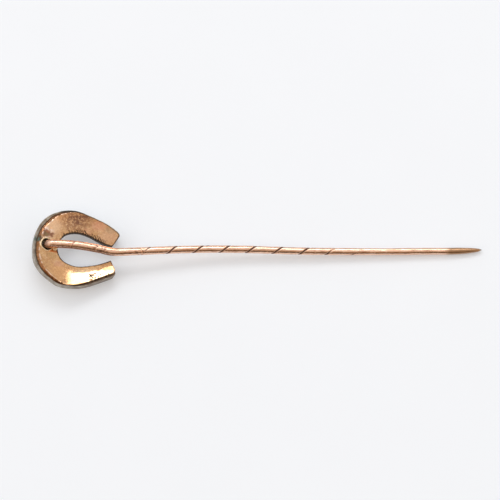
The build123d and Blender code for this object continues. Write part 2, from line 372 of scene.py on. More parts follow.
def head_grid(outer, opening, extra=()):
    """Grid over the horseshoe: its plan, and each place's distance from opening, outside and heels."""
    close = CLOSE_ROWS + list(extra)
    reach = close[-1]
    ends = np.array(close) * 1.15 / lengths_along(outer)[-1]
    between = np.linspace(ends[-1], 1 - ends[-1], GRID_COLUMNS)[1:-1]
    shares = np.concatenate([ends, between, 1 - ends[::-1]])
    far, near = along_curve(outer, shares), along_curve(opening, shares)
    for edge, seed in ((far, 3.1), (near, 8.6)):
        wobble = unevenness(edge, [(0.6, 1.3, seed), (0.4, 0.35, seed + 5)])
        edge += square_to(edge) * (EDGE_WEAR * wobble)[:, None]
    # Each column crosses from opening to outside, its rows close together at both edges
    width = np.linalg.norm(far - near, axis=1)
    steps = [np.full(len(width), d) for d in close]
    steps += [reach + (width - 2 * reach) * k / GRID_ROWS for k in range(1, GRID_ROWS)]
    steps += [width - d for d in reversed(close)]
    into = np.stack(steps, 1)
    plan = near[:, None] + (far - near)[:, None] * (into / width[:, None])[..., None]
    # Each half of the columns is measured from its own heel
    heel = np.zeros(into.shape)
    middle = len(width) // 2
    for end, half in ((0, slice(0, middle)), (-1, slice(middle, None))):
        line = unit(far[end] - near[end])
        across = plan - near[end]
        gone = np.abs(across[..., 0] * line[1] - across[..., 1] * line[0])
        heel[half] = gone[half]
    for end, step in ((0, HEEL_ROUNDING_STEP), (-1, -1 - HEEL_ROUNDING_STEP)):
        corner, inner, back = plan[end, -1].copy(), plan[end, 0].copy(), plan[step, -1].copy()
        plan = round_corner(plan, corner, inner, back, HEEL_CORNER)
    return plan, into, width[:, None] - into, heel


def slab(name, top_plan, top_height, low_plan, low_height, layers, marks, bulge=None):
    """Closed mesh between an upper and a lower grid, its sides drawn down in layers."""
    columns, rows = top_height.shape
    count = columns * rows
    upper = on_head(top_plan, top_height).reshape(-1, 3)
    lower = on_head(low_plan, low_height).reshape(-1, 3)
    index = np.arange(count).reshape(columns, rows)
    rim = np.concatenate([index[:, -1], index[-1, -2::-1], index[-2::-1, 0], index[0, 1:-1]])
    verts = [upper, lower]
    loops = [rim]
    for layer in range(1, layers):
        share = layer / layers
        ring = upper[rim] * (1 - share) + lower[rim] * share
        if bulge is not None:
            ring = ring + bulge(ring, rim, share)
        loops.append(2 * count + (layer - 1) * len(rim) + np.arange(len(rim)))
        verts.append(ring)
    loops.append(rim + count)
    a, b, c, d = index[:-1, :-1], index[1:, :-1], index[1:, 1:], index[:-1, 1:]
    faces = np.stack([a, b, c, d], -1).reshape(-1, 4).tolist()
    faces += (np.stack([d, c, b, a], -1).reshape(-1, 4) + count).tolist()
    for one, two in zip(loops, loops[1:]):
        ahead, below = np.roll(one, -1), np.roll(two, -1)
        faces += np.stack([one, two, below, ahead], -1).tolist()
    verts = np.concatenate(verts)
    whole = {}
    for label, values in marks.items():
        flat = values.reshape(-1)
        whole[label] = np.concatenate([flat, flat] + [flat[rim]] * (layers - 1))
    return make_object(name, verts, faces, whole)


def make_object(name, verts, faces, marks=None, sharp=38):
    """Mesh object of closed faces, smooth but for its sharp edges, with its marks as attributes."""
    mesh = bpy.data.meshes.new(name)
    mesh.from_pydata(np.asarray(verts).tolist(), [], faces)
    for label, values in (marks or {}).items():
        mark = mesh.attributes.new(label, "FLOAT", "POINT")
        mark.data.foreach_set("value", np.asarray(values, np.float32))
    work = bmesh.new()
    work.from_mesh(mesh)
    bmesh.ops.recalc_face_normals(work, faces=work.faces)
    work.to_mesh(mesh)
    work.free()
    obj = bpy.data.objects.new(name, mesh)
    bpy.context.scene.collection.objects.link(obj)
    smooth(mesh, sharp)
    return obj


def smooth(mesh, sharp):
    """Shades the mesh smooth, but for edges that turn by more than that angle."""
    mesh.polygons.foreach_set("use_smooth", [True] * len(mesh.polygons))
    mesh.set_sharp_from_angle(angle=math.radians(sharp))
    mesh.update()


def keep(obj, slot_name, material, *nodes):
    """Gives a finished piece its material and body, and hides the CAD nodes that it stands for; slot_name is
    not used.
    """
    obj.data.materials.clear()
    obj.data.materials.append(material)
    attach(obj, "root")
    if nodes:
        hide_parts(*nodes)


# Materials

# Where the head's coordinates start, and how they are turned
HEAD_FRAME = tuple(HEAD_ORIGIN * MM), (0, lift, -yaw)
# Colours
GOLD_DEEP = (0.64, 0.345, 0.155)
GOLD_LIGHT = (0.74, 0.43, 0.205)
GOLD_BROWN = (0.48, 0.24, 0.115)
GOLD_PALE = (0.86, 0.58, 0.36)
STAIN = (0.29, 0.14, 0.085)
STAIN_CORE = (0.15, 0.07, 0.06)
PIT = (0.25, 0.10, 0.06)
PIT_MIDDLE = (0.28, 0.18, 0.09)
PIT_RIM = (0.95, 0.70, 0.56)
RED_SPOT = (0.20, 0.05, 0.06)
RED_SPECK = (0.25, 0.05, 0.03)
NICK = (0.05, 0.02, 0.012)
STREWN_DIRT = (0.11, 0.06, 0.025)
# Painted shade on the toe's bevel, copper-brown
BEVEL_SHADE, BEVEL_SHADE_DARK = (0.40, 0.165, 0.065), (0.20, 0.09, 0.045)
# Painted glints on the worn ridge of the toe's bevel
WORN_EDGE_GLINT = (0.93, 0.68, 0.54)
HOLE_DIRT, HOLE_DIRT_PALE = (0.26, 0.16, 0.16), (0.40, 0.32, 0.14)
VERDIGRIS, VERDIGRIS_RIM = (0.12, 0.19, 0.16), (0.07, 0.055, 0.04)
OPENING_DIRT, OUTSIDE_DIRT = (0.045, 0.028, 0.02), (0.10, 0.05, 0.025)
FILED = (0.045, 0.025, 0.015)
SILVER_LIGHT, SILVER_DARK = (0.50, 0.46, 0.39), (0.30, 0.26, 0.215)
SILVER_BROWN = (0.26, 0.16, 0.11)
SILVER_HEEL = (0.22, 0.16, 0.13)
# Dark along the setting's top: a stain with painted shade
SILVER_CROWN_STAIN_AND_SHADE = (0.07, 0.055, 0.045)
# Tarnish with painted shade along the opening
SILVER_TARNISH_AND_SHADE = (0.03, 0.022, 0.018)
SILVER_TEAL = (0.10, 0.13, 0.11)
TRAY_DIRT, TRAY_DIRT_PALE = (0.40, 0.28, 0.26), (0.70, 0.58, 0.34)
WIRE_LIGHT, WIRE_DEEP = (0.90, 0.59, 0.43), (0.84, 0.51, 0.345)
WIRE_STREAK = (0.52, 0.24, 0.135)
WIRE_POINT = (0.36, 0.19, 0.085)
WIRE_TIP = (0.45, 0.42, 0.40)
WIRE_SCRAPE = (0.24, 0.10, 0.055)
WIRE_GROOVE = (0.085, 0.028, 0.008)
# Painted shade on the wire's root
WIRE_ROOT_SHADE = (0.20, 0.10, 0.06)
SOLDER_LIGHT, SOLDER_DARK = (0.98, 0.80, 0.53), (0.86, 0.64, 0.40)
PAPER_TONES = (0.648, 0.674, 0.706), (0.668, 0.694, 0.726)
PAPER_GLOW = (0.955, 0.985, 1.04, 1.0)
# Tinted patches of the plate, the last but one a painted highlight: centre, size, share and colour
TINTS_AND_HIGHLIGHT = [
    ((-3.6, 3.2), (1.5, 1.4), 0.60, (0.92, 0.60, 0.38)),
    ((-4.45, 2.6), (0.5, 0.4), 0.80, (0.97, 0.70, 0.58)),
    ((5.2, -1.45), (1.4, 0.35), 0.70, (0.50, 0.24, 0.10)),
    ((3.4, 4.1), (1.0, 0.7), 0.55, (0.74, 0.34, 0.22)),
    ((1.8, 3.0), (0.8, 0.5), 0.35, (0.74, 0.36, 0.22)),
    ((4.9, 2.6), (1.2, 0.9), 0.45, (0.72, 0.40, 0.25)),
    ((5.0, 3.6), (0.7, 0.4), 0.45, (0.46, 0.29, 0.17)),
    ((-1.7, -3.6), (1.3, 1.3), 0.50, (0.80, 0.42, 0.19)),
    ((-2.9, -1.2), (0.8, 0.5), 0.30, (0.40, 0.27, 0.12)),
    ((-1.9, -2.3), (0.8, 0.4), 0.40, (0.66, 0.34, 0.24)),
    # Painted highlight: paler under the window's reflection on the right arm
    ((4.2, -3.75), (3.6, 1.05), 0.60, (0.93, 0.76, 0.53)),
    ((0.7, -5.0), (0.6, 0.3), 0.45, (0.60, 0.62, 0.25)),
]
# Nicks and dots on the right arm: place, size and strength
NICKS = [
    (2.80, -3.36, 0.14, 0.93),
    (2.94, -3.46, 0.14, 0.95),
    (3.07, -3.58, 0.15, 1.00),
    (3.22, -3.74, 0.15, 1.00),
    (3.31, -3.45, 0.13, 0.95),
    (3.48, -3.42, 0.11, 0.90),
    (3.71, -3.75, 0.13, 0.94),
    (4.09, -3.54, 0.12, 0.94),
    (4.12, -3.80, 0.13, 0.94),
    (4.38, -3.21, 0.12, 0.96),
    (4.62, -3.04, 0.10, 0.90),
    (5.24, -3.33, 0.12, 0.95),
    (5.48, -3.02, 0.12, 0.95),
]


def add(tree, kind, values=None, **settings):
    """Adds a node. values are numbers or sockets for its inputs, by name or number."""
    made = tree.nodes.new(kind)
    for name, value in settings.items():
        setattr(made, name, value)
    for name, value in (values or {}).items():
        socket = made.inputs[name]
        if isinstance(value, bpy.types.NodeSocket):
            tree.links.new(value, socket)
        else:
            socket.default_value = value
    return made


def maths(tree, operation, *values, clamp=False):
    """Arithmetic of values, each a number or a socket."""
    made = add(tree, "ShaderNodeMath", dict(enumerate(values)), operation=operation, use_clamp=clamp)
    return made.outputs[0]


def times(tree, *values):
    """Product of values, each a number or a socket."""
    product = values[0]
    for value in values[1:]:
        product = maths(tree, "MULTIPLY", product, value)
    return product


def vectors(tree, operation, values):
    """Vector arithmetic of values, each a vector or a socket."""
    return add(tree, "ShaderNodeVectorMath", values, operation=operation).outputs


def places_from(tree, origin, turn):
    """Coordinates in millimetres from an origin in the frame, turned about it."""
    place = add(tree, "ShaderNodeTexCoord").outputs["Object"]
    return add(tree, "ShaderNodeMapping", {
        "Vector": place, "Location": origin, "Rotation": turn, "Scale": (MM, MM, MM)},
        vector_type="TEXTURE").outputs[0]


def speckle(tree, place, scale, detail=3.0, rough_share=0.55):
    """Noise from 0 to 1, its features about 1 / scale across."""
    return add(tree, "ShaderNodeTexNoise", {
        "Vector": place, "Scale": scale, "Detail": detail, "Roughness": rough_share}).outputs["Fac"]


def stretch(tree, value, low, high, out_low=0.0, out_high=1.0):
    """Smooth step from out_low, where the value is low, to out_high, where it is high."""
    return add(tree, "ShaderNodeMapRange", {
        0: value, 1: low, 2: high, 3: out_low, 4: out_high}, interpolation_type="SMOOTHSTEP").outputs[0]


def flecks(tree, place, noises, low, high, out_low=0.0, out_high=1.0):
    """Flecks where the noise, given by scale, detail and roughness, passes from low to high."""
    return stretch(tree, speckle(tree, place, *noises), low, high, out_low, out_high)


def stray(tree, place, scale, amount):
    """The places moved about by noise, for ragged outlines."""
    noises = add(tree, "ShaderNodeTexNoise", {"Vector": place, "Scale": scale, "Detail": 3.0})
    centred = vectors(tree, "SUBTRACT", {0: noises.outputs["Color"], 1: (0.5, 0.5, 0.5)})[0]
    drift = vectors(tree, "SCALE", {0: centred, "Scale": amount})[0]
    return vectors(tree, "ADD", {0: place, 1: drift})[0]


def patch(tree, place, centre, size, soft=0.5):
    """1 inside an oval round the centre, 0 outside, with a soft edge."""
    off = vectors(tree, "SUBTRACT", {0: place, 1: (centre[0], centre[1], 0)})[0]
    scaled = vectors(tree, "MULTIPLY", {0: off, 1: (1 / size[0], 1 / size[1], 0)})[0]
    reach = vectors(tree, "LENGTH", {0: scaled})["Value"]
    return stretch(tree, reach, 1 + soft, 1 - soft)


def blend(tree, share, low, high):
    """Mix of two colours, each a colour or a socket."""
    low, high = (c if isinstance(c, bpy.types.NodeSocket) else (*c, 1.0) for c in (low, high))
    return add(tree, "ShaderNodeMix", {0: share, 6: low, 7: high}, data_type="RGBA").outputs[2]


def cover(tree, colour, tint, *shares):
    """The colour with a tint over it, as strong as the product of the shares."""
    return blend(tree, times(tree, *shares), colour, tint)


def attribute(tree, name):
    """Mark that the mesh carries under this name."""
    return add(tree, "ShaderNodeAttribute", attribute_name=name).outputs["Fac"]


def metal(name):
    """New metal material, its tree and its shader."""
    material = bpy.data.materials.new(name)
    material.use_nodes = True
    tree = material.node_tree
    shader = tree.nodes["Principled BSDF"]
    shader.inputs["Metallic"].default_value = 1.0
    return material, tree, shader


def finish_metal(tree, shader, colour, roughness, height, depth):
    """Gives a metal its colour, its roughness and its fine relief, so deep in millimetres."""
    tree.links.new(colour, shader.inputs["Base Color"])
    tree.links.new(roughness, shader.inputs["Roughness"])
    bump = add(tree, "ShaderNodeBump", {"Height": height, "Distance": depth * MM, "Strength": 1.0})
    tree.links.new(bump.outputs[0], shader.inputs["Normal"])


def make_gold_plate():
    """Worn rose gold back plate: stained, mottled and scratched, dark along its edges, with painted shade on
    the toe's bevel, painted glints on its ridge and a painted highlight on the right arm.
    """
    material, tree, shader = metal("gold_plate_worn")
    place = places_from(tree, *HEAD_FRAME)
    loose = stray(tree, place, 1.6, 0.9)
    fine = stray(tree, place, 4.0, 0.35)
    mottle = speckle(tree, place, 5.0, 6.0, 0.7)
    grain = speckle(tree, place, 9.0, 4.0, 0.6)
    tone = speckle(tree, place, 0.9, 5.0, 0.6)
    colour = blend(tree, stretch(tree, tone, 0.35, 0.65), GOLD_DEEP, GOLD_LIGHT)
    blotch = speckle(tree, place, 1.7, 6.0, 0.7)
    spots = speckle(tree, place, 3.1, 3.0, 0.6)
    for marbling, low, high, most, tint in (
            (blotch, 0.47, 0.62, 0.65, GOLD_BROWN), (blotch, 0.45, 0.34, 0.45, GOLD_PALE),
            (spots, 0.54, 0.66, 0.70, GOLD_BROWN), (spots, 0.44, 0.34, 0.50, GOLD_PALE),
            (grain, 0.52, 0.36, 0.50, GOLD_BROWN), (grain, 0.60, 0.72, 0.60, GOLD_PALE)):
        colour = blend(tree, stretch(tree, marbling, low, high, 0.0, most), colour, tint)
    # Purple-brown stain on the left arm, darkest in the middle, with light dots
    stain = patch(tree, loose, (-0.1, 4.3), (2.35, 1.35))
    core = maths(tree, "MAXIMUM", patch(tree, loose, (-0.1, 4.55), (1.1, 0.6), 0.6),
                 patch(tree, loose, (1.3, 5.1), (0.9, 0.3), 0.7))
    colour = cover(tree, colour, STAIN, stain, stretch(tree, spots, 0.28, 0.56), 0.7)
    colour = cover(tree, colour, STAIN_CORE, core, stretch(tree, spots, 0.32, 0.56), 0.6)
    dots = flecks(tree, place, (4.2, 2.0), 0.56, 0.64)
    colour = cover(tree, colour, GOLD_PALE, stain, dots, 0.45)
    # Pale pink near the toe, reddish towards the left heel, and paler and yellower on the right arm, a
    # painted highlight under the window's reflection
    for centre, size, share, tint in TINTS_AND_HIGHLIGHT:
        colour = cover(tree, colour, tint, patch(tree, loose, centre, size), share)
    # Pit beside the hole, with a light rim of dots, and a red spot by the bead
    torn = stray(tree, place, 2.6, 0.9)
    pit = maths(tree, "MAXIMUM", patch(tree, torn, (-4.25, 1.97), (0.7, 0.55), 0.4),
                patch(tree, torn, (-3.45, 1.87), (0.45, 0.35)))
    rim = maths(tree, "SUBTRACT", patch(tree, torn, (-4.25, 1.95), (1.2, 0.9), 0.35), pit, clamp=True)
    colour = cover(tree, colour, PIT_RIM, rim, stretch(tree, spots, 0.46, 0.54), 0.8)
    colour = cover(tree, colour, PIT, pit, 0.92)
    colour = cover(tree, colour, PIT_MIDDLE, patch(tree, torn, (-4.2, 1.75), (0.42, 0.3)), 0.8)
    colour = cover(tree, colour, RED_SPOT, patch(tree, place, (-2.2, -0.34), (0.15, 0.13)), 0.8)
    # Dark red specks, nicks and strewn dirt on the right arm
    colour = cover(tree, colour, RED_SPECK, patch(tree, fine, (0.0, -3.0), (0.7, 0.35)),
                   flecks(tree, place, (7.0, 3.0, 0.6), 0.55, 0.62), 0.8)
    near = stray(tree, place, 7.0, 0.12)
    for x, y, size, share in NICKS:
        nick = patch(tree, near, (x, y), (size, 0.8 * size))
        colour = cover(tree, colour, NICK, nick, share)
    colour = cover(tree, colour, STREWN_DIRT, patch(tree, place, (4.4, -4.1), (2.0, 0.40)),
                   flecks(tree, place, (3.2, 1.0, 0.5), 0.47, 0.55))
    # Painted shade on the bevel at the toe, copper-brown, with painted glints along its worn edge
    bevel_shade = blend(tree, flecks(tree, place, (6.0,), 0.4, 0.65), BEVEL_SHADE, BEVEL_SHADE_DARK)
    colour = cover(tree, colour, bevel_shade, attribute(tree, "bevel"), 0.92)
    # Pale painted glints along the bevel's worn ridge
    worn = flecks(tree, place, (1.9, 3.0), 0.46, 0.56)
    colour = cover(tree, colour, WORN_EDGE_GLINT, attribute(tree, "crest"), worn, 0.75)
    # Dirt down the hole
    deep = blend(tree, flecks(tree, place, (2.0,), 0.42, 0.58), HOLE_DIRT, HOLE_DIRT_PALE)
    colour = blend(tree, patch(tree, place, HOLE, (0.93, 0.93), 0.04), colour, deep)
    # Verdigris where the bevel passes the hole
    dark = patch(tree, fine, (-5.2, 0.95), (0.55, 0.5), 0.4)
    colour = cover(tree, colour, VERDIGRIS_RIM, dark, 0.85)
    teal = patch(tree, fine, (-5.35, 0.85), (0.33, 0.33), 0.4)
    colour = cover(tree, colour, VERDIGRIS, teal, 0.9)
    # Dirt along the edges, wider here and there
    ragged = times(tree, speckle(tree, place, 3.5, 3.0), 0.28)
    opening = maths(tree, "SUBTRACT", attribute(tree, "opening"), ragged)
    colour = blend(tree, stretch(tree, opening, 0.08, -0.02, 0.0, 0.92), colour, OPENING_DIRT)
    outside = maths(tree, "SUBTRACT", attribute(tree, "outside"), ragged)
    clean = maths(tree, "SUBTRACT", 1.0, times(tree, patch(tree, place, (5.0, -3.6), (2.6, 1.4), 0.4), 0.6))
    colour = cover(tree, colour, OUTSIDE_DIRT, stretch(tree, outside, 0.06, -0.06, 0.0, 0.85), clean)
    patchy = flecks(tree, place, (5.0, 2.0), 0.3, 0.5)
    colour = cover(tree, colour, FILED, attribute(tree, "filed"), patchy, 0.95)
    # Duller where it is stained, brightest on the right arm
    roughness = stretch(tree, mottle, 0.3, 0.7, 0.08, 0.16)
    roughness = maths(tree, "ADD", roughness, times(tree, stain, 0.16))
    arm = patch(tree, loose, (4.2, -3.2), (4.2, 2.2), 0.2)
    roughness = maths(tree, "SUBTRACT", roughness, times(tree, arm, 0.03))
    slanted = add(tree, "ShaderNodeMapping", {
        "Vector": place, "Rotation": (0, 0, 0.5), "Scale": (1.2, 9.0, 1.0)}).outputs[0]
    height = maths(tree, "ADD", times(tree, speckle(tree, slanted, 2.0, 4.0, 0.6), 0.5),
                   times(tree, grain, 0.3))
    height = times(tree, height, maths(tree, "SUBTRACT", 1.0, times(tree, arm, 0.6)))
    finish_metal(tree, shader, colour, roughness, height, 0.006)
    return material


def make_silver():
    """Dull tarnished silver with brown tints, near black inside the opening, tarnish with painted shade, and
    dark along its top, a stain with painted shade.
    """
    material, tree, shader = metal("silver_tarnished")
    place = places_from(tree, *HEAD_FRAME)
    tone = speckle(tree, place, 0.8, 5.0, 0.6)
    colour = blend(tree, stretch(tree, tone, 0.35, 0.65), SILVER_LIGHT, SILVER_DARK)
    brown = flecks(tree, place, (1.7, 4.0, 0.6), 0.5, 0.68, 0.0, 0.6)
    colour = blend(tree, brown, colour, SILVER_BROWN)
    colour = cover(tree, colour, SILVER_HEEL, patch(tree, place, (5.2, -4.0), (3.4, 1.6)), 0.45)
    # Dark along the top of the setting: a stain with painted shade
    crown_stain_and_shade = patch(tree, stray(tree, place, 2.0, 0.5), (-0.9, 5.75), (1.9, 0.6), 0.4)
    colour = cover(tree, colour, SILVER_CROWN_STAIN_AND_SHADE, crown_stain_and_shade, 0.92)
    # Near black along the opening: tarnish with painted shade
    tarnish_and_shade = stretch(tree, attribute(tree, "opening"), 0.3, 0.02)
    colour = cover(tree, colour, SILVER_TARNISH_AND_SHADE, tarnish_and_shade, 0.93)
    inside = attribute(tree, "hollow")
    dirt = blend(tree, flecks(tree, place, (3.0,), 0.42, 0.6), TRAY_DIRT, TRAY_DIRT_PALE)
    colour = blend(tree, inside, colour, dirt)
    tree.links.new(stretch(tree, inside, 0.0, 1.0, 1.0, 0.1), shader.inputs["Metallic"])
    teal = patch(tree, stray(tree, place, 4.0, 0.35), (-5.6, 0.85), (0.3, 0.35), 0.5)
    colour = cover(tree, colour, SILVER_TEAL, teal, 0.8)
    roughness = stretch(tree, tone, 0.3, 0.7, 0.36, 0.52)
    finish_metal(tree, shader, colour, roughness, speckle(tree, place, 6.0, 4.0, 0.6), 0.02)
    return material


def make_wire():
    """Polished rose gold wire, a little uneven, darker towards its point, with painted shade at its root."""
    material, tree, shader = metal("gold_wire_polished")
    place = places_from(tree, (0, 0, 0), (0, 0, 0))
    along = add(tree, "ShaderNodeSeparateXYZ", {0: place}).outputs[0]
    tone = speckle(tree, place, 0.6, 4.0, 0.6)
    colour = blend(tree, stretch(tree, tone, 0.35, 0.65), WIRE_LIGHT, WIRE_DEEP)
    long_place = add(tree, "ShaderNodeMapping", {"Vector": place, "Scale": (0.5, 2.5, 2.5)}).outputs[0]
    streak = flecks(tree, long_place, (1.6, 4.0, 0.65), 0.48, 0.66, 0.0, 0.65)
    colour = blend(tree, streak, colour, WIRE_STREAK)
    point = stretch(tree, along, *TARNISH_FROM)
    colour = cover(tree, colour, WIRE_POINT, point, 0.95)
    colour = blend(tree, stretch(tree, along, *GREY_FROM), colour, WIRE_TIP)
    colour = cover(tree, colour, WIRE_SCRAPE, attribute(tree, "scraped"), 0.85)
    groove = attribute(tree, "groove")
    colour = blend(tree, groove, colour, WIRE_GROOVE)
    # Painted shade on the elbow at the wire's root
    root = stretch(tree, along, *ROOT_SHADE_FROM)
    colour = cover(tree, colour, WIRE_ROOT_SHADE, root, 0.85)
    roughness = flecks(tree, place, (2.0, 4.0), 0.3, 0.7, 0.18, 0.28)
    for dull, share in ((groove, 0.3), (root, 0.2), (point, 0.1)):
        roughness = maths(tree, "ADD", roughness, times(tree, dull, share))
    height = maths(tree, "ADD", times(tree, speckle(tree, long_place, 2.0, 4.0, 0.6), 0.7),
                   times(tree, speckle(tree, place, 7.0, 3.0), 0.3))
    finish_metal(tree, shader, colour, roughness, height, 0.012)
    shader.inputs["Coat Weight"].default_value = 0.8
    shader.inputs["Coat Roughness"].default_value = 0.3
    return material


def make_solder():
    """Pale yellow solder, darker in places."""
    material, tree, shader = metal("gold_solder")
    place = places_from(tree, *HEAD_FRAME)
    colour = blend(tree, flecks(tree, place, (4.0,), 0.4, 0.62), SOLDER_LIGHT, SOLDER_DARK)
    shader.inputs["Metallic"].default_value = 0.4
    roughness = flecks(tree, place, (3.0,), 0.3, 0.7, 0.25, 0.4)
    finish_metal(tree, shader, colour, roughness, speckle(tree, place, 6.0), 0.02)
    return material


def make_paper():
    """Pale matt paper, a little mottled."""
    material = bpy.data.materials.new("paper_pale")
    material.use_nodes = True
    tree = material.node_tree
    shader = tree.nodes["Principled BSDF"]
    place = add(tree, "ShaderNodeTexCoord").outputs["Object"]
    tone = blend(tree, speckle(tree, place, 60.0, 3.0), *PAPER_TONES)
    tree.links.new(tone, shader.inputs["Base Color"])
    shader.inputs["Roughness"].default_value = 0.85
    shader.inputs["Specular IOR Level"].default_value = 0.1
    # The paper shines a little itself, which keeps the shadows faint
    shader.inputs["Emission Color"].default_value = PAPER_GLOW
    shader.inputs["Emission Strength"].default_value = 0.25
    return material


GOLD = make_gold_plate()
SILVER = make_silver()
WIRE = make_wire()
SOLDER = make_solder()

# Head: shared forms

opening_edge = opening_curve()
plate_edge = outer_curve(PLATE_EDGE, 0)
setting_edge = outer_curve(SETTING_EDGE, SETTING_TOE_RIM)


def back_height(plan, depth=0.0):
    """Height of the hollow back, or of the ball depth below it."""
    return BACK_RADIUS - np.sqrt((BACK_RADIUS + depth)**2 - (plan**2).sum(-1))


def front_height(plan, depth=0.0):
    """Height of the rounded front, or of the ball depth above it."""
    return FRONT_RADIUS - HEAD_THICKNESS - np.sqrt((FRONT_RADIUS - depth)**2 - (plan**2).sum(-1))


def toe_edge_along(side):
    """Along-place of the plate's toe edge at a side."""
    left, right = plate_edge[:, 1].argmax(), plate_edge[:, 1].argmin()
    part = plate_edge[left:right + 1][::-1]
    return np.interp(side, part[:, 1], part[:, 0])


def notches(plan, seed):
    """Depth of the file marks across the left arm's inner edge, by place along the arm."""
    along = plan[..., 0]
    size = np.interp(along, NOTCH_STRETCH, [0, 1, 1, 0]) * (plan[..., 1] > 0)
    beat = along / NOTCH_PITCH + 0.35 * rough(plan, 0.9, seed)
    tooth = 1 - (beat % 1.0)
    strong = 0.35 + 0.65 * np.clip(rough(np.stack([np.floor(beat), 0 * beat], -1), 1.7, seed) + 0.5, 0, 1)
    return size * strong * ease(tooth / 0.85) * (tooth < 0.85)


def stripes(plan, opening):
    """1 in the slanting file strokes along the left arm's inner edge, 0 elsewhere."""
    along = plan[..., 0]
    zone = np.interp(along, STROKE_STRETCH, [0, 1, 1, 0]) * (plan[..., 1] > 0)
    beat = (along + 0.65 * opening) / STROKE_PITCH + 0.6 * rough(plan, 0.8, 11.0)
    number = np.floor(beat)
    length = 0.3 + 0.55 * np.clip(0.5 + 1.3 * rough(np.stack([number, 0 * number], -1), 1.9, 6.0), 0, 1)
    stroke = ease(1.4 - np.abs(beat % 1.0 - 0.5) / 0.3)
    between = 0.6 * ease((0.36 + 0.2 * rough(plan, 0.5, 8.0) - opening) / 0.2)
    return zone * np.maximum(stroke * ease((length - opening) / 0.15), between)


def towards_outside(plan):
    """Directions in plan across the opening's edge, from the opening into the metal."""
    out = square_to(plan[:, 0])
    return out * np.sign(((plan[:, -1] - plan[:, 0]) * out).sum(1))[:, None]


def build_plate():
    """Back plate: a shallow hollow, bevelled at the toe, dented and filed, with a ragged hole."""
    plan, opening, outside, heel = head_grid(plate_edge, opening_edge)
    # The opening's edge is filed: the notches eat into the upper edge, less into the lower one
    bite = notches(plan[:, 0], 4.2)[:, None] * np.clip(1 - opening / NOTCH_REACH, 0, 1)
    towards = towards_outside(plan)[:, None]
    top_plan = plan + towards * (NOTCH_UPPER * bite)[..., None]
    low_plan = plan + towards * (NOTCH_LOWER * bite)[..., None]
    height = back_height(plan) + unevenness(plan, PLATE_WAVE)
    foot = back_height(np.array([-BOW_STATION, 0.0])) - BEVEL_HEIGHT
    from_toe = plan[..., 0] - toe_edge_along(plan[..., 1]) + unevenness(plan, BEVEL_WAVE)
    sloped = foot + from_toe * BEVEL_HEIGHT / BEVEL_WIDTH
    at_toe = plan[..., 0] < 0
    bevel = ease((height - sloped) / 0.05 + 0.2) * at_toe
    crest = ease(1.2 - np.abs(height - sloped + 0.03) / 0.1) * at_toe
    height = np.where(plan[..., 0] < 1.0, np.minimum(height, sloped), height)
    near_edge = np.minimum(np.minimum(opening, outside), heel)
    filed = stripes(plan, opening)
    height = height - fall(near_edge, PLATE_ROUNDING) - STROKE_DEPTH * filed
    for along, side, size, depth in PLATE_DENTS:
        off = np.hypot(plan[..., 0] - along, (plan[..., 1] - side) * 1.3) / size
        height = height - depth * ease(1 - off) * (1 + 0.5 * rough(plan, 0.3, along))
    low = back_height(low_plan, PLATE_THICKNESS)
    height = np.maximum(height, low + THINNEST)
    marks = {"opening": opening, "outside": np.minimum(outside, heel), "bevel": bevel, "filed": filed,
             "crest": crest}
    plate = slab("plate_worn", top_plan, height, low_plan, low, PLATE_LAYERS, marks)
    cut_hole(plate)
    keep(plate, "gold_plate", GOLD, "back_plate")


def round_hole(angle, beyond):
    """Places in plan round the ragged hole, so far beyond its edge."""
    turn = np.linspace(0, 2 * math.pi, len(HOLE_RIM) + 1)
    reach = HOLE_RADIUS * np.interp(angle, turn, HOLE_RIM + HOLE_RIM[:1]) + beyond
    return np.stack([HOLE[0] + reach * np.cos(angle), HOLE[1] + reach * np.sin(angle)], 1)


def cut_hole(plate):
    """Cuts the ragged hole. Its wall is clean of the dirt of the plate's own edges."""
    angle = circle(HOLE_SIDES)
    ring = round_hole(angle, 0.02 * np.sin(angle * 11 + 1))
    verts = np.concatenate([on_head(ring, np.full(HOLE_SIDES, height)) for height in (-1.0, 2.0)])
    cutter = make_object("cutter", verts, tube_faces(2, HOLE_SIDES, "capped"))
    cut = plate.modifiers.new("hole", "BOOLEAN")
    cut.operation, cut.solver, cut.object = "DIFFERENCE", "EXACT", cutter
    bpy.context.view_layer.update()
    graph = bpy.context.evaluated_depsgraph_get()
    mesh = bpy.data.meshes.new_from_object(plate.evaluated_get(graph))
    plate.modifiers.clear()
    plate.data = mesh
    clean = {"opening": 1.0, "outside": 1.0, "bevel": 0.0, "crest": 0.0, "filed": 0.0}
    for index, vert in enumerate(mesh.vertices):
        place = np.array(vert.co) / MM - HEAD_ORIGIN
        if math.hypot(place @ ALONG - HOLE[0], place @ SIDE - HOLE[1]) < HOLE_RADIUS * 1.15:
            for name, value in clean.items():
                mesh.attributes[name].data[index].value = value
    bpy.data.objects.remove(cutter)
    smooth(mesh, 38)


def build_rim():
    """Raised rim of solder round the hole, thick on the toe side."""
    angle = circle(RIM_SIDES)
    toeward = 0.5 - 0.5 * np.cos(angle)
    plan = round_hole(angle, RIM_BEYOND * (1 + toeward))
    line = on_head(plan, back_height(plan) + 0.005) / MM
    radius = RIM_RADIUS + RIM_TOE_EXTRA * toeward + 0.025 * rough(plan, 0.4, 6.1)
    radius = np.maximum(radius, 0.03)
    run = unit(np.roll(line, -1, 0) - np.roll(line, 1, 0))
    ring = rings(np.cross(NORMAL, run), NORMAL[None], circle(RIM_SEGMENTS))
    verts = (line[:, None] + ring * radius[:, None, None]).reshape(-1, 3) * MM
    rim = make_object("hole_rim", verts, tube_faces(RIM_SIDES, RIM_SEGMENTS, "joined"))
    keep(rim, "gold_plate", SOLDER)


